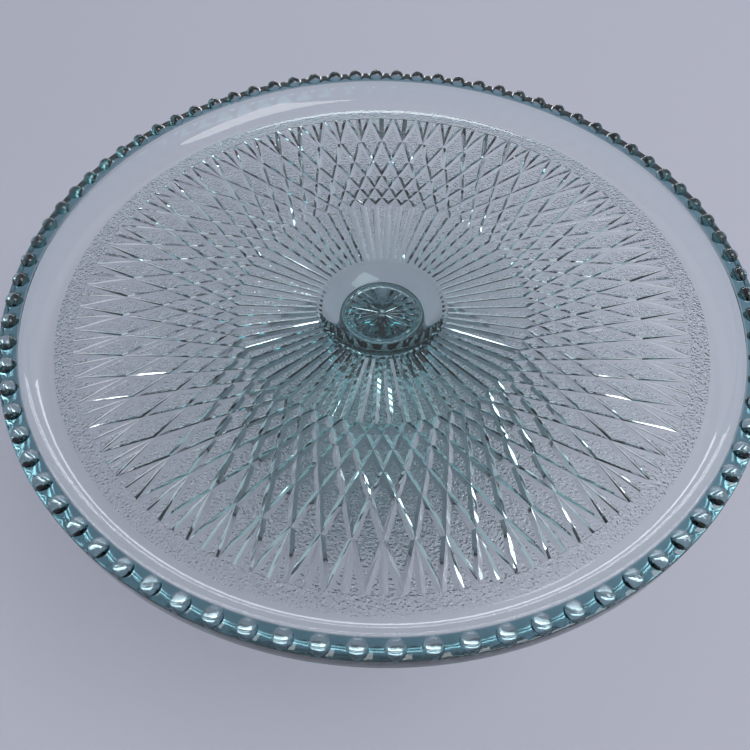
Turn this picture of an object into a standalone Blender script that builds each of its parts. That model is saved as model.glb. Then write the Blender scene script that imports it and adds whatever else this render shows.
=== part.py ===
"""Footed cake stand in pressed glass.

A beaded dish with a pattern pressed into its underside stands on a hollow
pedestal. A cone under the dish ends in a short round spigot, which drops into
a cup on top of the pedestal, so the dish lifts off. Units are metres, +Z is
up, and the foot rests on z = 0.
"""
import bpy
import bmesh
from math import atan2, cos, hypot, pi, radians, sin

MM = 0.001

# ---- driving dimensions, millimetres --------------------------------------
RIM_Z = 132.0              # flat top of the rim above the table
RIM_R = 150.2              # outside of the dish
RIM_WALL = 7.5             # height of the upright outer edge
BEADS = 84
BEAD_CIRCLE_R = 146.5
BEAD_R = 3.4
BEAD_PHASE = 2.446         # degrees
BAND_INNER_R = 142.8       # inner edge of the flat band that carries the beads

WELL_DEPTH = 10.3          # rim top to the dish floor
FLOOR_R = 133.0

FLUTES = 64                # grooves round the pressed pattern
FLUTE_PHASE = 4.06         # degrees
GROOVE_HALF = 1.375        # half the width of a groove
GROOVE_DEPTH = 0.9
FLUTE_INNER_R = 28.0       # where the lands between the flutes run out to nothing
NODE_R = (61.0, 65.7, 72.5, 81.5, 92.1, 107.9, 126.6)   # groove crossings, row by row
EDGE_THICK = 4.4           # glass at the pattern's outer edge
RING_R = 135.0             # outside of the plain ring round the pattern

BOSS_R = 27.3              # top of the conical boss under the dish
BOSS_Z = 108.3
BOSS_END_R = 18.0          # bottom of the cone, where the spigot starts
BOSS_END_Z = 102.6
SPIGOT_R = 16.0            # round end that drops into the pedestal's cup
SPIGOT_END_Z = 100.8
STAR_R = 14.8
STAR_RAYS = 24
STAR_DEPTH = 0.8

CUP_R = 16.4               # recess in the top of the pedestal
CUP_FLOOR_Z = 100.5
CUP_RIM_R = 17.8
CUP_RIM_Z = 102.2
FOOT_R = 60.0

FLOOR_Z = RIM_Z - WELL_DEPTH

# Bowl side, from the floor up to the bead band: radius, height.
COVE = ((134.6, 122.0), (136.9, 123.3), (139.2, 125.6), (141.0, 128.5), (142.3, 131.4))
# Underside of the rim, from the upright edge in to the plain ring.
SKIRT = ((149.4, 123.7), (145.0, 121.2), (139.5, 119.0))

# Pedestal, from the middle of the cup over the outside to the hollow.
PEDESTAL = (
    (0.0, CUP_FLOOR_Z), (15.7, CUP_FLOOR_Z), (CUP_R, 101.1), (CUP_R, 101.8), (16.8, CUP_RIM_Z),
    (17.5, CUP_RIM_Z), (CUP_RIM_R, 101.7), (17.5, 99.9), (14.9, 96.9), (12.2, 93.6),
    (10.6, 89.4), (10.0, 84.0), (10.5, 78.0), (12.9, 71.5), (17.3, 64.0), (23.2, 55.5),
    (29.6, 46.2), (36.2, 36.4), (42.4, 26.4), (48.4, 17.0), (54.0, 9.8), (58.2, 5.6),
    (FOOT_R, 3.4), (FOOT_R, 1.0), (59.1, 0.0), (54.6, 0.0), (53.6, 0.9), (49.4, 5.2),
    (43.5, 12.5), (37.5, 21.5), (31.3, 31.5), (24.8, 41.5), (18.4, 50.2), (12.0, 56.8),
    (6.0, 60.8), (0.0, 62.4),
)
PEDESTAL_SEGMENTS = 48


class Shell:
    """Collects the vertices and faces of one closed body, in millimetres."""

    def __init__(self):
        self.verts, self.faces, self._index = [], [], {}

    def point(self, x, y, z):
        key = (round(x, 4), round(y, 4), round(z, 4))
        if key not in self._index:
            self._index[key] = len(self.verts)
            self.verts.append(key)
        return self._index[key]

    def polar(self, r, degrees, z):
        a = radians(degrees)
        return self.point(r * cos(a), r * sin(a), z)

    def loop(self, r, z, count, phase=0.0):
        return [self.polar(r, phase + 360.0 * i / count, z) for i in range(count)]

    def face(self, *corners):
        ring = [c for i, c in enumerate(corners) if c != corners[i - 1]]
        if len(ring) > 2:
            self.faces.append(tuple(ring))

    def angle(self, i):
        x, y, _ = self.verts[i]
        return atan2(y, x) % (2 * pi)

    def fan(self, loop, z):
        centre = self.point(0.0, 0.0, z)
        for a, b in zip(loop, loop[1:] + loop[:1]):
            self.face(centre, a, b)

    def bridge(self, first, second):
        """Joins two closed loops about the axis, whatever their vertex counts."""
        a, b = sorted(first, key=self.angle), sorted(second, key=self.angle)
        i = j = 0
        while i < len(a) or j < len(b):
            next_a = self.angle(a[(i + 1) % len(a)]) + (2 * pi if i + 1 >= len(a) else 0)
            next_b = self.angle(b[(j + 1) % len(b)]) + (2 * pi if j + 1 >= len(b) else 0)
            if j >= len(b) or (i < len(a) and next_a <= next_b):
                self.face(a[i % len(a)], a[(i + 1) % len(a)], b[j % len(b)])
                i += 1
            else:
                self.face(b[j % len(b)], b[(j + 1) % len(b)], a[i % len(a)])
                j += 1

    def build(self, name, collection):
        bm = bmesh.new()
        points = [bm.verts.new((x * MM, y * MM, z * MM)) for x, y, z in self.verts]
        for f in self.faces:
            bm.faces.new([points[i] for i in f])
        bmesh.ops.triangulate(bm, faces=[f for f in bm.faces if len(f.verts) > 3])
        bmesh.ops.recalc_face_normals(bm, faces=bm.faces)
        mesh = bpy.data.meshes.new(name)
        bm.to_mesh(mesh)
        bm.free()
        obj = bpy.data.objects.new(name, mesh)
        collection.objects.link(obj)
        return obj


# ---- the dish -------------------------------------------------------------
def land_z(r):
    """Height of the lands of the pattern: the glass thickens towards the boss."""
    t = (NODE_R[-1] - r) / (NODE_R[-1] - FLUTE_INNER_R)
    return FLOOR_Z - (EDGE_THICK + 5.0 * t + 4.0 * t ** 6)


def plan(r, u):
    """Point at radius r, u groove pitches round from the first groove."""
    a = radians(FLUTE_PHASE + 360.0 * u / FLUTES)
    return r * cos(a), r * sin(a)


def inset(corners, widths):
    """Corners of a convex cell, counter-clockwise, after each side moves in by its width."""
    n, lines = len(corners), []
    for i in range(n):
        (x0, y0), (x1, y1) = corners[i], corners[(i + 1) % n]
        length = hypot(x1 - x0, y1 - y0)
        nx, ny = (y0 - y1) / length, (x1 - x0) / length
        lines.append((nx, ny, nx * x0 + ny * y0 + widths[i]))
    result = []
    for i in range(n):
        (a, b, c), (d, e, f) = lines[i - 1], lines[i]
        det = a * e - b * d
        result.append(((c * e - b * f) / det, (a * f - c * d) / det))
    return result


def bottom(shell, p):
    return shell.point(p[0], p[1], land_z(hypot(*p)) + GROOVE_DEPTH)


def top(shell, p):
    return shell.point(p[0], p[1], land_z(hypot(*p)))


def raised_cell(shell, corners, land, sloped):
    """A land with a slope down to the bottom of each groove beside it."""
    n = len(corners)
    for i in range(n):
        if sloped[i]:
            j = (i + 1) % n
            shell.face(bottom(shell, corners[i]), bottom(shell, corners[j]),
                       top(shell, land[j]), top(shell, land[i]))
    shell.face(*(top(shell, p) for p in land))


def flute_cell(shell, u):
    """A land that widens from nothing at the boss and ends in a point."""
    r0, r1 = NODE_R[0], NODE_R[1]
    corners = [plan(FLUTE_INNER_R, u + 0.5), plan(FLUTE_INNER_R, u - 0.5),
               plan(r0, u - 0.5), plan(r1, u), plan(r0, u + 0.5)]
    land = inset(corners, (0.0, GROOVE_HALF, GROOVE_HALF, GROOVE_HALF, GROOVE_HALF))
    land[0] = land[1] = plan(FLUTE_INNER_R, u)
    raised_cell(shell, corners, land, (False, True, True, True, True))
    shell.face(bottom(shell, corners[0]), top(shell, land[0]), bottom(shell, corners[1]),
               shell.polar(BOSS_R, FLUTE_PHASE + 360.0 * (u - 0.5) / FLUTES, BOSS_Z),
               shell.polar(BOSS_R, FLUTE_PHASE + 360.0 * (u + 0.5) / FLUTES, BOSS_Z))


def diamond_cell(shell, row, u):
    corners = [plan(NODE_R[row - 1], u), plan(NODE_R[row], u - 0.5),
               plan(NODE_R[row + 1], u), plan(NODE_R[row], u + 0.5)]
    raised_cell(shell, corners, inset(corners, (GROOVE_HALF,) * 4), (True,) * 4)


def edge_cells(shell, u):
    """The pair of points outside a last crossing, cut off square at the plain ring.

    Returns the foot of each cut, in order round the dish.
    """
    r5, r6 = NODE_R[-2], NODE_R[-1]
    feet = []
    for side in (-0.5, 0.5):
        corners = [plan(r5, u), plan(r6, u + min(side, 0)), plan(r6, u + max(side, 0))]
        land = inset(corners, (GROOVE_HALF, 0.0, GROOVE_HALF))
        raised_cell(shell, corners, land, (True, False, True))
        ends = [(land[1][0], land[1][1]), (land[2][0], land[2][1])]
        low = [shell.point(x, y, land_z(r6) + GROOVE_DEPTH) for x, y in ends]
        high = [top(shell, p) for p in ends]
        shell.face(bottom(shell, corners[1]), low[0], high[0])
        shell.face(bottom(shell, corners[2]), high[1], low[1])
        shell.face(low[0], low[1], high[1], high[0])
        feet += [bottom(shell, corners[1]), low[0], low[1], bottom(shell, corners[2])]
    return feet


def pattern(shell):
    """Flutes, five rows of diamonds and the cut-off outer points."""
    outline = []
    for i in range(FLUTES):
        flute_cell(shell, i + 0.5)
        for row in range(1, 6):
            diamond_cell(shell, row, i + (0.0 if row % 2 else 0.5))
        outline += edge_cells(shell, i + 0.5)
    return list(dict.fromkeys(outline))


def bead_band(shell):
    """Flat band with its row of half-round beads; returns its two edge loops."""
    half = 180.0 / BEADS
    for i in range(BEADS):
        a = BEAD_PHASE + 360.0 * i / BEADS
        frame = [shell.polar(r, a + s * half, RIM_Z) for r, s in (
            (RIM_R, 0), (RIM_R, 1), (BEAD_CIRCLE_R, 1), (BAND_INNER_R, 1),
            (BAND_INNER_R, 0), (BAND_INNER_R, -1), (BEAD_CIRCLE_R, -1), (RIM_R, -1))]
        ca, sa = cos(radians(a)), sin(radians(a))
        rings = []
        for tilt in (0.0, 45.0):
            r, z = BEAD_R * cos(radians(tilt)), RIM_Z + BEAD_R * sin(radians(tilt))
            ring = []
            for k in range(8):
                out, side = r * cos(k * pi / 4), r * sin(k * pi / 4)
                ring.append(shell.point((BEAD_CIRCLE_R + out) * ca - side * sa,
                                        (BEAD_CIRCLE_R + out) * sa + side * ca, z))
            rings.append(ring)
        crown = shell.polar(BEAD_CIRCLE_R, a, RIM_Z + BEAD_R)
        for k in range(8):
            m = (k + 1) % 8
            shell.face(frame[k], frame[m], rings[0][m], rings[0][k])
            shell.face(rings[0][k], rings[0][m], rings[1][m], rings[1][k])
            shell.face(rings[1][k], rings[1][m], crown)
    count = 2 * BEADS
    return (shell.loop(BAND_INNER_R, RIM_Z, count, BEAD_PHASE),
            shell.loop(RIM_R, RIM_Z, count, BEAD_PHASE))


def star(shell, loop):
    """Radiating cuts in the flat end of the spigot."""
    rays = 2 * STAR_RAYS
    for r, cut in ((STAR_R + 0.5, 0.0), (STAR_R - 0.5, STAR_DEPTH), (2.0, 0.4 * STAR_DEPTH)):
        ring = [shell.polar(r, 360.0 * i / rays, SPIGOT_END_Z + (cut if i % 2 else 0.0))
                for i in range(rays)]
        shell.bridge(loop, ring)
        loop = ring
    shell.fan(loop, SPIGOT_END_Z + 0.1)


def dish(collection):
    shell = Shell()
    inner, outer = bead_band(shell)

    last = inner
    for r, z in reversed(COVE):
        ring = shell.loop(r, z, BEADS, BEAD_PHASE)
        shell.bridge(last, ring)
        last = ring
    for r, count in ((FLOOR_R, BEADS), (70.0, 42), (30.0, 21)):
        ring = shell.loop(r, FLOOR_Z, count, BEAD_PHASE)
        shell.bridge(last, ring)
        last = ring
    shell.fan(last, FLOOR_Z)

    wall = shell.loop(RIM_R, RIM_Z - RIM_WALL, 2 * BEADS, BEAD_PHASE)
    shell.bridge(outer, wall)
    last = wall
    ring_z = land_z(NODE_R[-1]) + GROOVE_DEPTH
    for r, z in SKIRT + ((RING_R, ring_z),):
        ring = shell.loop(r, z, BEADS, BEAD_PHASE)
        shell.bridge(last, ring)
        last = ring
    shell.bridge(last, pattern(shell))

    last = shell.loop(BOSS_R, BOSS_Z, FLUTES, FLUTE_PHASE)
    for r, z in ((BOSS_END_R, BOSS_END_Z), (SPIGOT_R + 0.9, BOSS_END_Z - 0.1),
                 (SPIGOT_R, BOSS_END_Z - 0.5), (SPIGOT_R, SPIGOT_END_Z + 0.6),
                 (SPIGOT_R - 0.6, SPIGOT_END_Z)):
        ring = shell.loop(r, z, 2 * STAR_RAYS)
        shell.bridge(last, ring)
        last = ring
    star(shell, last)
    return shell.build("dish", collection)


# ---- the pedestal ---------------------------------------------------------
def pedestal(collection):
    shell = Shell()
    loops = [shell.loop(r, z, PEDESTAL_SEGMENTS) for r, z in PEDESTAL[1:-1]]
    shell.fan(loops[0], PEDESTAL[0][1])
    for a, b in zip(loops, loops[1:]):
        shell.bridge(a, b)
    shell.fan(loops[-1], PEDESTAL[-1][1])
    return shell.build("pedestal", collection)


def main():
    for obj in list(bpy.data.objects):
        bpy.data.objects.remove(obj, do_unlink=True)
    collection = bpy.data.collections.new("cake_stand")
    bpy.context.scene.collection.children.link(collection)
    dish(collection)
    pedestal(collection)


main()
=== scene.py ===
"""Footed cake stand in pale aqua pressed glass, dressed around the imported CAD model.

Two pieces are remade at full detail, the dish and the pedestal. All lengths in the
mesh code are millimetres; a piece is scaled to metres when its mesh is written.
"""
from math import atan2, cos, hypot, pi, radians, sin

import bpy
import bmesh
from mathutils import Matrix, Vector


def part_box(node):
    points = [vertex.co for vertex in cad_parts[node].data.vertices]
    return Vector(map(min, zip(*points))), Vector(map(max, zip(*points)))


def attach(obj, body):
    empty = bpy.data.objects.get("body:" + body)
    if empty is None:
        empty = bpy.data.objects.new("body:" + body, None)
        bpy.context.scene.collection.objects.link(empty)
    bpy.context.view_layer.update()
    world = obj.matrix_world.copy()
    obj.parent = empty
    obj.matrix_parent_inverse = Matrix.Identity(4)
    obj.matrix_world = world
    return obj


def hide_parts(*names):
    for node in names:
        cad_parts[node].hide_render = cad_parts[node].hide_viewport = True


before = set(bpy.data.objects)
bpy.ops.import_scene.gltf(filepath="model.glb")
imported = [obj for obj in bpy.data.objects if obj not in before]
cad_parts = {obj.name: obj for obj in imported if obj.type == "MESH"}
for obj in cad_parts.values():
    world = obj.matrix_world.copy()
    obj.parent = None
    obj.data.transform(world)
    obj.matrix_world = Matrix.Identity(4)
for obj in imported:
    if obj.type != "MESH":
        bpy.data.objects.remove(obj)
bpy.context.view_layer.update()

MM = 0.001

# ---- sizes taken from the CAD ---------------------------------------------
# The CAD's beads are a little taller, and the visual model stays inside its box.
CAD_BEAD_R = 3.4
BEAD_R = 3.36
RIM_INSET = 0.2
FOOT_INSET = 0.05
_low, _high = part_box("dish")
RIM_Z = _high[2] / MM - CAD_BEAD_R
RIM_R = _high[0] / MM - RIM_INSET
SPIGOT_END_Z = _low[2] / MM
_low, _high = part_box("pedestal")
CUP_RIM_Z = _high[2] / MM
FOOT_R = _high[0] / MM - FOOT_INSET

# ---- dish -----------------------------------------------------------------
RIM_WALL = 7.5
BEADS = 84
BEAD_CIRCLE_R = 146.5
BEAD_PHASE = 2.446
BAND_INNER_R = 142.8
FLOOR_Z = RIM_Z - 10.3
FLOOR_R = 133.0

FLUTES = 64
FLUTE_PHASE = 4.06
GROOVE_HALF = 1.375
GROOVE_DEPTH = 0.9
CHAMFER = 0.16
FLUTE_INNER_R = 28.0
NODE_R = (61.0, 65.7, 72.5, 81.5, 92.1, 107.9, 126.6)
EDGE_THICK = 4.4
RING_R = 135.0

BOSS_R = 27.3
BOSS_Z = 108.3
SCALLOP = 0.6
BOSS_END_R = 18.0
BOSS_END_Z = 102.6
SPIGOT_R = 16.0
STAR_R = 14.8
STAR_RAYS = 24
STAR_DEPTH = 0.8


class Shell:
    """Vertices and faces of one closed body.

    A face is smooth or flat, plain or stippled, and may carry painted shade: a darker teal
    painted into its colour.
    """

    def __init__(self):
        self.verts, self.faces, self._index = [], [], {}

    def point(self, x, y, z):
        key = (round(x, 4), round(y, 4), round(z, 4))
        if key not in self._index:
            self._index[key] = len(self.verts)
            self.verts.append(key)
        return self._index[key]

    def polar(self, r, degrees, z):
        a = radians(degrees)
        return self.point(r * cos(a), r * sin(a), z)

    def loop(self, r, z, count, phase=0.0):
        return [self.polar(r, phase + 360.0 * i / count, z) for i in range(count)]

    def face(self, *corners, smooth=True, stipple=0.0, deep=0.0):
        ring = [c for i, c in enumerate(corners) if c != corners[i - 1]]
        if len(ring) > 2:
            self.faces.append((tuple(ring), smooth, stipple, deep))

    def angle(self, i):
        x, y, _ = self.verts[i]
        return atan2(y, x) % (2 * pi)

    def fan(self, loop, z, **kind):
        centre = self.point(0.0, 0.0, z)
        for a, b in zip(loop, loop[1:] + loop[:1]):
            self.face(centre, a, b, **kind)

    def bridge(self, first, second, **kind):
        """Joins two closed loops about the axis, whatever their vertex counts."""
        a, b = sorted(first, key=self.angle), sorted(second, key=self.angle)
        if len(a) == len(b) and abs(self.angle(a[0]) - self.angle(b[0])) < 1e-4:
            for i in range(len(a)):
                j = (i + 1) % len(a)
                self.face(a[i], a[j], b[j], b[i], **kind)
            return
        i = j = 0
        while i < len(a) or j < len(b):
            next_a = self.angle(a[(i + 1) % len(a)]) + (2 * pi if i + 1 >= len(a) else 0)
            next_b = self.angle(b[(j + 1) % len(b)]) + (2 * pi if j + 1 >= len(b) else 0)
            if j >= len(b) or (i < len(a) and next_a <= next_b):
                self.face(a[i % len(a)], a[(i + 1) % len(a)], b[j % len(b)], **kind)
                i += 1
            else:
                self.face(b[j % len(b)], b[(j + 1) % len(b)], a[i % len(a)], **kind)
                j += 1

    def lathe(self, start, profile, count, phase=0.0, **kind):
        """Carries a loop along a profile of (radius, height); returns the last loop."""
        for r, z in profile:
            ring = self.loop(r, z, count, phase)
            self.bridge(start, ring, **kind)
            start = ring
        return start

    def build(self, name, body, node, material):
        bm = bmesh.new()
        grain = bm.faces.layers.float.new("stipple")
        # Layer of painted shade: how far each face's colour is painted towards a dark teal.
        tint = bm.faces.layers.float.new("deep")
        points = [bm.verts.new((x * MM, y * MM, z * MM)) for x, y, z in self.verts]
        crisp = []
        for corners, smooth, stipple, deep in self.faces:
            f = bm.faces.new([points[i] for i in corners])
            f.smooth, f[grain], f[tint] = True, stipple, deep
            if not smooth:
                crisp += f.edges
        # Crisp facets come from sharp edges: a volume only closes again through faces
        # that are all shaded the same way.
        for e in crisp:
            e.smooth = False
        bmesh.ops.recalc_face_normals(bm, faces=bm.faces)
        mesh = bpy.data.meshes.new(name)
        bm.to_mesh(mesh)
        bm.free()
        mesh.materials.append(material)
        obj = bpy.data.objects.new(name, mesh)
        bpy.context.scene.collection.objects.link(obj)
        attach(obj, body)
        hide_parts(node)
        return obj


def arc(r, z, radius, start, end, steps):
    """Points of a circular fillet about (r, z), angles in degrees."""
    return [(r + radius * cos(radians(start + (end - start) * i / steps)),
             z + radius * sin(radians(start + (end - start) * i / steps)))
            for i in range(steps + 1)]


def curve(points, steps):
    """Smooth (Catmull-Rom) curve through a profile's points."""
    out = []
    ext = [points[0]] + list(points) + [points[-1]]
    for i in range(1, len(ext) - 2):
        p0, p1, p2, p3 = ext[i - 1:i + 3]
        for s in range(steps):
            t = s / steps
            out.append(tuple(0.5 * (2 * b + (c - a) * t + (2 * a - 5 * b + 4 * c - d) * t * t
                                    + (3 * b - a - 3 * c + d) * t ** 3)
                             for a, b, c, d in zip(p0, p1, p2, p3)))
    out.append(tuple(points[-1]))
    return out


# ---- pressed pattern ------------------------------------------------------
def land_z(r):
    """Height of the lands of the pattern: the glass thickens towards the plug."""
    t = (NODE_R[-1] - r) / (NODE_R[-1] - FLUTE_INNER_R)
    return FLOOR_Z - (EDGE_THICK + 5.0 * t + 4.0 * t ** 6)


def plan(r, u):
    a = radians(FLUTE_PHASE + 360.0 * u / FLUTES)
    return r * cos(a), r * sin(a)


def inset(corners, widths):
    """Corners of a convex cell, counter-clockwise, after each side moves in by its width."""
    n, lines = len(corners), []
    for i in range(n):
        (x0, y0), (x1, y1) = corners[i], corners[(i + 1) % n]
        length = hypot(x1 - x0, y1 - y0)
        nx, ny = (y0 - y1) / length, (x1 - x0) / length
        lines.append((nx, ny, nx * x0 + ny * y0 + widths[i]))
    result = []
    for i in range(n):
        (a, b, c), (d, e, f) = lines[i - 1], lines[i]
        det = a * e - b * d
        result.append(((c * e - b * f) / det, (a * f - c * d) / det))
    return result


def at(shell, p, lift):
    """The pattern's surface over a plan point, lift millimetres up from the lands."""
    return shell.point(p[0], p[1], land_z(hypot(*p)) + lift)


def raised_cell(shell, corners, sloped, pinch=None):
    """A stippled land with a fine chamfer, and a clear slope to each groove beside it.

    pinch replaces the first two corners of the land where it narrows to nothing.
    """
    n = len(corners)
    shoulder = inset(corners, [GROOVE_HALF - CHAMFER if s else 0.0 for s in sloped])
    land = inset(corners, [GROOVE_HALF + CHAMFER if s else 0.0 for s in sloped])
    if pinch:
        shoulder[0] = shoulder[1] = land[0] = land[1] = pinch
    drop = 1.4 * CHAMFER * GROOVE_DEPTH / GROOVE_HALF
    for i in range(n):
        j = (i + 1) % n
        if sloped[i]:
            shell.face(at(shell, corners[i], GROOVE_DEPTH), at(shell, corners[j], GROOVE_DEPTH),
                       at(shell, shoulder[j], drop), at(shell, shoulder[i], drop), smooth=False)
            shell.face(at(shell, shoulder[i], drop), at(shell, shoulder[j], drop),
                       at(shell, land[j], 0.0), at(shell, land[i], 0.0), smooth=False)
    shell.face(*(at(shell, p, 0.0) for p in land), smooth=False, stipple=1.0)
    return shoulder, land, drop


def flute_cell(shell, u):
    """A land that widens from nothing at the plug and ends in a point."""
    r0, r1 = NODE_R[0], NODE_R[1]
    corners = [plan(FLUTE_INNER_R, u + 0.5), plan(FLUTE_INNER_R, u - 0.5),
               plan(r0, u - 0.5), plan(r1, u), plan(r0, u + 0.5)]
    shoulder, _, drop = raised_cell(shell, corners, (False, True, True, True, True),
                                    plan(FLUTE_INNER_R, u))
    shell.face(at(shell, corners[0], GROOVE_DEPTH), at(shell, shoulder[0], drop),
               at(shell, corners[1], GROOVE_DEPTH),
               shell.polar(BOSS_R, FLUTE_PHASE + 360.0 * (u - 0.5) / FLUTES, BOSS_Z),
               shell.polar(BOSS_R - SCALLOP, FLUTE_PHASE + 360.0 * u / FLUTES, BOSS_Z),
               shell.polar(BOSS_R, FLUTE_PHASE + 360.0 * (u + 0.5) / FLUTES, BOSS_Z),
               smooth=False)


def diamond_cell(shell, row, u):
    corners = [plan(NODE_R[row - 1], u), plan(NODE_R[row], u - 0.5),
               plan(NODE_R[row + 1], u), plan(NODE_R[row], u + 0.5)]
    raised_cell(shell, corners, (True,) * 4)


def edge_cells(shell, u):
    """The two points outside a last crossing, cut off square at the plain ring."""
    r5, r6 = NODE_R[-2], NODE_R[-1]
    feet = []
    for side in (-0.5, 0.5):
        corners = [plan(r5, u), plan(r6, u + min(side, 0)), plan(r6, u + max(side, 0))]
        shoulder, land, drop = raised_cell(shell, corners, (True, False, True))
        high = [at(shell, shoulder[1], drop), at(shell, land[1], 0.0),
                at(shell, land[2], 0.0), at(shell, shoulder[2], drop)]
        low = [shell.point(p[0], p[1], land_z(r6) + GROOVE_DEPTH)
               for p in (shoulder[1], land[1], land[2], shoulder[2])]
        ends = [at(shell, corners[1], GROOVE_DEPTH), at(shell, corners[2], GROOVE_DEPTH)]
        shell.face(ends[0], low[0], high[0], smooth=False)
        shell.face(ends[1], high[3], low[3], smooth=False)
        for i in range(3):
            shell.face(low[i], low[i + 1], high[i + 1], high[i], smooth=False)
        feet += [ends[0], *low, ends[1]]
    return feet


def pattern(shell):
    """Flutes, five rows of diamonds and the cut-off outer points; returns its outline."""
    outline = []
    for i in range(FLUTES):
        flute_cell(shell, i + 0.5)
        for row in range(1, 6):
            diamond_cell(shell, row, i + (0.0 if row % 2 else 0.5))
        outline += edge_cells(shell, i + 0.5)
    return list(dict.fromkeys(outline))


# ---- dish -----------------------------------------------------------------
BEAD_SIDES = 24
SPIGOT_SIDES = 96
# Painted shade, from 0 to 1, chosen for looks: a darker teal painted over a bead from the band up
# to its crown, on the inner edge of the rim, and on the end of the spigot.
BEAD_SHADE_TINT = (1.0, 1.0, 1.0, 0.95, 0.9, 0.85, 0.8, 0.75, 0.7, 0.7)
RIM_EDGE_SHADE_TINT = 0.8
SPIGOT_SHADE_TINT = 0.6


def bead_band(shell):
    """Flat band with its row of half-round beads; returns its two edge loops."""
    half = 180.0 / BEADS
    per_side = BEAD_SIDES // 4
    r_in, r_out = BAND_INNER_R + 0.5, RIM_R - 0.45
    corner = [(r_out, -1), (r_out, 1), (r_in, 1), (r_in, -1)]
    for i in range(BEADS):
        a = BEAD_PHASE + 360.0 * i / BEADS
        ca, sa = cos(radians(a)), sin(radians(a))
        cell = []
        for k in range(4):
            (ra, ta), (rb, tb) = corner[k], corner[(k + 1) % 4]
            cell += [shell.polar(ra + (rb - ra) * s / per_side,
                                 a + half * (ta + (tb - ta) * s / per_side), RIM_Z)
                     for s in range(per_side)]
        rings = [cell]
        skirt = [(BEAD_R + 0.05, 0.0), (BEAD_R - 0.06, 0.14)]
        domes = [(BEAD_R * cos(radians(t)), BEAD_R * sin(radians(t))) for t in
                 (12, 24, 36, 48, 60, 72, 82)]
        for r, z in skirt + domes:
            ring = []
            for k in range(BEAD_SIDES):
                t = 2 * pi * k / BEAD_SIDES - pi / 4
                out, side = r * cos(t), r * sin(t)
                ring.append(shell.point((BEAD_CIRCLE_R + out) * ca - side * sa,
                                        (BEAD_CIRCLE_R + out) * sa + side * ca, RIM_Z + z))
            rings.append(ring)
        crown = shell.polar(BEAD_CIRCLE_R, a, RIM_Z + BEAD_R)
        # Each bead carries painted shade, darkest at the band and lighter towards its crown.
        for k in range(BEAD_SIDES):
            m = (k + 1) % BEAD_SIDES
            for j in range(len(rings) - 1):
                low, high = rings[j], rings[j + 1]
                shell.face(low[k], low[m], high[m], high[k], deep=BEAD_SHADE_TINT[j])
            shell.face(rings[-1][k], rings[-1][m], crown, deep=BEAD_SHADE_TINT[-1])
    count = per_side * BEADS
    return (shell.loop(r_in, RIM_Z, count, BEAD_PHASE - half),
            shell.loop(r_out, RIM_Z, count, BEAD_PHASE - half))


def star(shell, loop):
    """Radiating cuts in the flat end of the spigot."""
    rays = 2 * STAR_RAYS
    # The cuts and their middle carry painted shade.
    for r, cut in ((STAR_R + 0.5, 0.0), (STAR_R - 0.5, STAR_DEPTH), (2.0, 0.4 * STAR_DEPTH)):
        ring = [shell.polar(r, 360.0 * i / rays, SPIGOT_END_Z + (cut if i % 2 else 0.0))
                for i in range(rays)]
        shell.bridge(loop, ring, smooth=False, deep=SPIGOT_SHADE_TINT)
        loop = ring
    shell.fan(loop, SPIGOT_END_Z + 0.1, smooth=False, deep=SPIGOT_SHADE_TINT)


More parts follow.
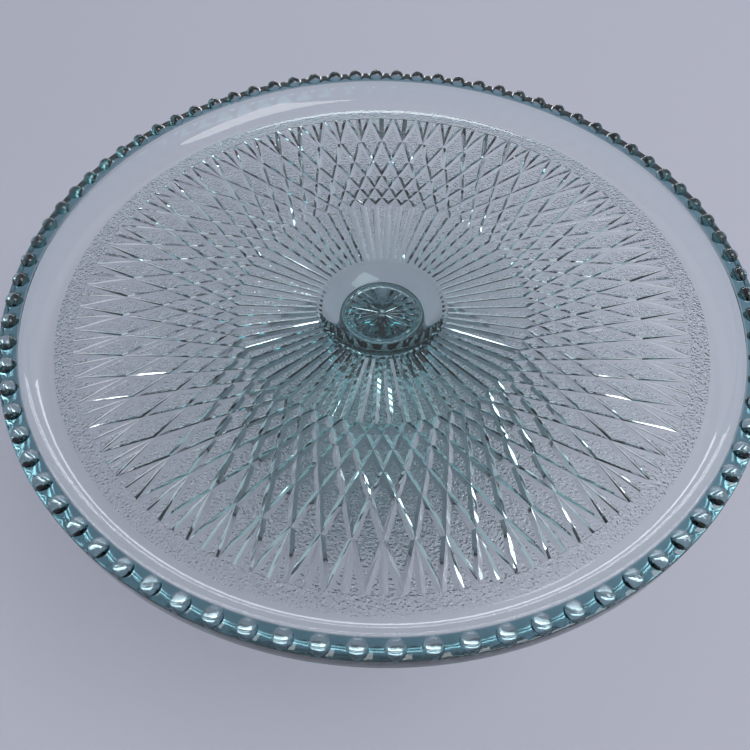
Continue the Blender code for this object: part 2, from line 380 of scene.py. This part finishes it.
def dish(material):
    shell = Shell()
    inner, outer = bead_band(shell)
    fine, plain = BEADS * BEAD_SIDES // 4, 3 * BEADS
    phase = BEAD_PHASE - 180.0 / BEADS

    # over the rim's inner edge, down the cove and across the floor
    # The rim's inner edge carries painted shade.
    last = shell.lathe(inner, arc(BAND_INNER_R + 0.5, RIM_Z - 0.5, 0.5, 105, 180, 4), fine, phase,
                       deep=RIM_EDGE_SHADE_TINT)
    cove = curve([(BAND_INNER_R, RIM_Z - 0.5), (141.9, RIM_Z - 2.7), (140.2, RIM_Z - 5.4),
                  (137.9, RIM_Z - 8.0), (135.3, RIM_Z - 9.6), (FLOOR_R, FLOOR_Z)], 4)
    last = shell.lathe(last, cove[1:], plain, phase)
    last = shell.lathe(last, [(131.0, FLOOR_Z)], plain, phase)
    last = shell.lathe(last, [(90.0, FLOOR_Z)], plain // 2, phase)
    last = shell.lathe(last, [(40.0, FLOOR_Z)], plain // 4, phase)
    shell.fan(last, FLOOR_Z)

    # over the rim's outer edge, down the upright side and in under the skirt
    wall = (arc(RIM_R - 0.45, RIM_Z - 0.45, 0.45, 75, 0, 4)
            + arc(RIM_R - 0.9, RIM_Z - RIM_WALL + 0.9, 0.9, 0, -60, 5))
    # The top of the rim's outer edge carries painted shade: a dark teal painted into its colour.
    last = shell.lathe(outer, wall[:3], fine, phase, deep=1.0)
    last = shell.lathe(last, wall[3:], fine, phase)
    ring_z = land_z(NODE_R[-1]) + GROOVE_DEPTH
    skirt = curve([(RIM_R - 0.6, RIM_Z - RIM_WALL + 0.1), (145.0, 121.2), (139.5, 119.0),
                   (RING_R, ring_z)], 6)
    last = shell.lathe(last, skirt[1:], plain, phase)
    last = shell.lathe(last, [(RING_R - 0.8, ring_z)], plain, phase)
    shell.bridge(last, pattern(shell), smooth=False, stipple=1.0)

    # cone of the boss, its edge scalloped by the flutes, then the spigot and star
    count = 2 * FLUTES
    edge = [shell.polar(BOSS_R - (SCALLOP if i % 2 else 0.0), FLUTE_PHASE + 360.0 * i / count,
                        BOSS_Z) for i in range(count)]
    mid_r, mid_z = BOSS_R - 1.5, BOSS_Z - 0.9
    ring = shell.loop(mid_r, mid_z, count, FLUTE_PHASE)
    shell.bridge(edge, ring, smooth=False)
    last = shell.lathe(ring, [(BOSS_END_R, BOSS_END_Z), (SPIGOT_R + 0.9, BOSS_END_Z - 0.1)],
                       count, FLUTE_PHASE)
    # The spigot's sides carry painted shade.
    last = shell.lathe(last, arc(SPIGOT_R + 0.4, BOSS_END_Z - 0.5, 0.4, 90, 180, 3)
                       + arc(SPIGOT_R - 0.6, SPIGOT_END_Z + 0.6, 0.6, 0, -90, 4),
                       SPIGOT_SIDES, deep=SPIGOT_SHADE_TINT)
    star(shell, last)
    return shell.build("dish_glass", "dish_body", "dish", material)


# ---- pedestal -------------------------------------------------------------
CUP = ((15.7, 100.5), (16.2, 100.7), (16.4, 101.1), (16.4, 101.8), (16.8, 102.2), (17.5, 102.2),
       (17.8, 101.7))
STEM = ((17.8, 101.7), (17.5, 99.9), (14.9, 96.9), (12.2, 93.6), (10.6, 89.4), (10.0, 84.0),
        (10.5, 78.0), (12.9, 71.5), (17.3, 64.0), (23.2, 55.5), (29.6, 46.2), (36.2, 36.4),
        (42.4, 26.4), (48.4, 17.0), (54.0, 9.8), (58.2, 5.6))
FOOT = ((58.2, 5.6), (59.4, 4.5), (60.0, 3.2), (60.0, 1.0), (59.7, 0.3), (59.1, 0.0), (54.6, 0.0),
        (54.0, 0.2), (53.6, 0.9))
HOLLOW = ((53.6, 0.9), (49.4, 5.2), (43.5, 12.5), (37.5, 21.5), (31.3, 31.5), (24.8, 41.5),
          (18.4, 50.2), (12.0, 56.8), (6.0, 60.8), (1.0, 62.3))
HOLLOW_TOP_Z = 62.4
PEDESTAL_SIDES = 144
NOMINAL_FOOT_R = 60.0
FLARE_FROM_R = 30.0


def pedestal(material):
    shell = Shell()
    count = PEDESTAL_SIDES
    scale = FOOT_R / NOMINAL_FOOT_R
    profile = CUP + tuple(curve(STEM, 3)[1:]) + FOOT[1:] + tuple(curve(HOLLOW, 3)[1:])
    # the flare follows the CAD's foot, and nothing stands above or below the CAD's box
    profile = [(r * scale if r > FLARE_FROM_R else r, min(max(z, 0.0), CUP_RIM_Z))
               for r, z in profile]
    last = first = shell.loop(*profile[0], count)
    shell.fan(first, profile[0][1])
    last = shell.lathe(last, profile[1:], count)
    shell.fan(last, HOLLOW_TOP_Z)
    return shell.build("pedestal_glass", "pedestal_body", "pedestal", material)


# ---- materials ------------------------------------------------------------
# Absorption per metre. The pedestal is given more than the dish so that the middle of the
# dish looks dark: the denser glass stands in for shade there, and the two are meant to be the
# same glass.
DISH_DENSITY = 15.0
PEDESTAL_DENSITY = 60.0
GLASS_COLOUR = (0.08, 0.54, 0.57, 1)
# Base colour of the painted shade: a dark teal painted onto the marked faces. It stands in for
# the shade and deeper colour that absorption alone didn't give.
SHADE_TINT_COLOUR = (0.05, 0.18, 0.23, 1)
IOR = 1.52
GLOSS = 0.02
STIPPLE_SCALE, STIPPLE_DEPTH = 950.0, 0.0009
RIPPLE_SCALE, RIPPLE_DEPTH = 45.0, 0.00006


def node(tree, kind, **values):
    n = tree.nodes.new(kind)
    for key, value in values.items():
        if key in n.inputs:
            n.inputs[key].default_value = value
        else:
            setattr(n, key, value)
    return n


def glass(name, density):
    mat = bpy.data.materials.new(name)
    mat.use_nodes = True
    tree = mat.node_tree
    tree.nodes.clear()
    link = tree.links.new
    out = node(tree, "ShaderNodeOutputMaterial")
    shader = node(tree, "ShaderNodeBsdfPrincipled")
    shader.inputs["Roughness"].default_value = GLOSS
    shader.inputs["IOR"].default_value = IOR
    shader.inputs["Transmission Weight"].default_value = 1.0
    tint = node(tree, "ShaderNodeVolumeAbsorption", Density=density)
    tint.inputs["Color"].default_value = GLASS_COLOUR

    where = node(tree, "ShaderNodeTexCoord")
    grain = node(tree, "ShaderNodeTexNoise", Scale=STIPPLE_SCALE, Detail=1.5, Roughness=0.5)
    link(where.outputs["Object"], grain.inputs["Vector"])
    mask = node(tree, "ShaderNodeAttribute", attribute_name="stipple")
    dimple = node(tree, "ShaderNodeMath", operation="MULTIPLY")
    link(grain.outputs["Fac"], dimple.inputs[0])
    link(mask.outputs["Fac"], dimple.inputs[1])
    stipple = node(tree, "ShaderNodeBump", Strength=1.0, Distance=STIPPLE_DEPTH)
    link(dimple.outputs[0], stipple.inputs["Height"])

    wave = node(tree, "ShaderNodeTexNoise", Scale=RIPPLE_SCALE, Detail=2.0, Roughness=0.4)
    link(where.outputs["Object"], wave.inputs["Vector"])
    ripple = node(tree, "ShaderNodeBump", Strength=1.0, Distance=RIPPLE_DEPTH)
    link(wave.outputs["Fac"], ripple.inputs["Height"])
    link(stipple.outputs["Normal"], ripple.inputs["Normal"])
    link(ripple.outputs["Normal"], shader.inputs["Normal"])

    # Painted shade: the marked faces' base colour is painted towards a dark teal.
    shade_tint_mask = node(tree, "ShaderNodeAttribute", attribute_name="deep")
    colour = node(tree, "ShaderNodeValToRGB")
    colour.color_ramp.elements[0].color = (1, 1, 1, 1)
    colour.color_ramp.elements[1].color = SHADE_TINT_COLOUR
    link(shade_tint_mask.outputs["Fac"], colour.inputs["Fac"])
    link(colour.outputs["Color"], shader.inputs["Base Color"])
    link(shader.outputs["BSDF"], out.inputs["Surface"])
    link(tint.outputs["Volume"], out.inputs["Volume"])
    return mat


def matte(name, colour):
    mat = bpy.data.materials.new(name)
    mat.use_nodes = True
    tree = mat.node_tree
    shader = tree.nodes["Principled BSDF"]
    shader.inputs["Roughness"].default_value = 0.9
    shader.inputs["Specular IOR Level"].default_value = 0.1
    shader.inputs["Base Color"].default_value = (*colour, 1)
    return mat


# ---- stage ----------------------------------------------------------------
FLOOR_SIZE = 15.0
FLOOR_DROP = 0.0002
FLOOR_COLOUR = (0.47, 0.48, 0.55)
SKY_COLOUR = (0.80, 0.82, 0.90, 1)
SKY_STRENGTH = 0.71
AIM = (0, 0, 0.1)


def floor():
    bm = bmesh.new()
    bmesh.ops.create_grid(bm, x_segments=2, y_segments=2, size=FLOOR_SIZE)
    mesh = bpy.data.meshes.new("floor")
    bm.to_mesh(mesh)
    bm.free()
    mesh.materials.append(matte("floor", FLOOR_COLOUR))
    obj = bpy.data.objects.new("floor", mesh)
    obj.location.z = -FLOOR_DROP
    bpy.context.scene.collection.objects.link(obj)


def softbox(name, place, width, height, power, colour):
    light = bpy.data.lights.new(name, "AREA")
    light.shape, light.size, light.size_y = "RECTANGLE", width, height
    light.energy, light.color = power, colour
    obj = bpy.data.objects.new(name, light)
    obj.location = place
    obj.rotation_mode = "QUATERNION"
    obj.rotation_quaternion = (Vector(AIM) - Vector(place)).to_track_quat("-Z", "Y")
    bpy.context.scene.collection.objects.link(obj)


def studio():
    world = bpy.data.worlds.new("studio")
    bpy.context.scene.world = world
    world.use_nodes = True
    sky = world.node_tree.nodes["Background"]
    sky.inputs["Color"].default_value = SKY_COLOUR
    sky.inputs["Strength"].default_value = SKY_STRENGTH
    softbox("key", place=(0.7, -0.4, 1.5), width=0.9, height=0.9, power=11.0,
            colour=(1.0, 0.98, 0.96))
    softbox("far", place=(0.1, 1.9, 0.45), width=1.6, height=0.25, power=7.0,
            colour=(0.95, 0.97, 1.0))


# ---- camera ---------------------------------------------------------------
# Fitted to the rim and its beads. The roll is in degrees from the horizontal.
SENSOR = 36.0
CAMERA_AT = (0.0, -0.20270, RIM_Z * MM + 0.21171)
VIEW_DIR = (-0.00776975, 0.5873761, -0.80927681)
ROLL = -0.8
FIELD_LENS = 34.11


def camera():
    data = bpy.data.cameras.new("camera")
    data.sensor_width, data.lens = SENSOR, FIELD_LENS
    data.clip_start, data.clip_end = 0.01, 50.0
    obj = bpy.data.objects.new("camera", data)
    forward = Vector(VIEW_DIR).normalized()
    right = forward.cross(Vector((0, 0, 1))).normalized()
    right = Matrix.Rotation(radians(ROLL), 3, forward) @ right
    up = right.cross(forward)
    turn = Matrix((right, up, -forward)).transposed().to_4x4()
    obj.matrix_world = Matrix.Translation(CAMERA_AT) @ turn
    bpy.context.scene.collection.objects.link(obj)
    bpy.context.scene.camera = obj


dish(glass("aqua_glass", DISH_DENSITY))
# The pedestal's denser glass stands in for shade in the middle of the dish.
pedestal(glass("aqua_glass_deep", PEDESTAL_DENSITY))
floor()
studio()
camera()

bpy.context.scene.view_settings.view_transform = "Standard"
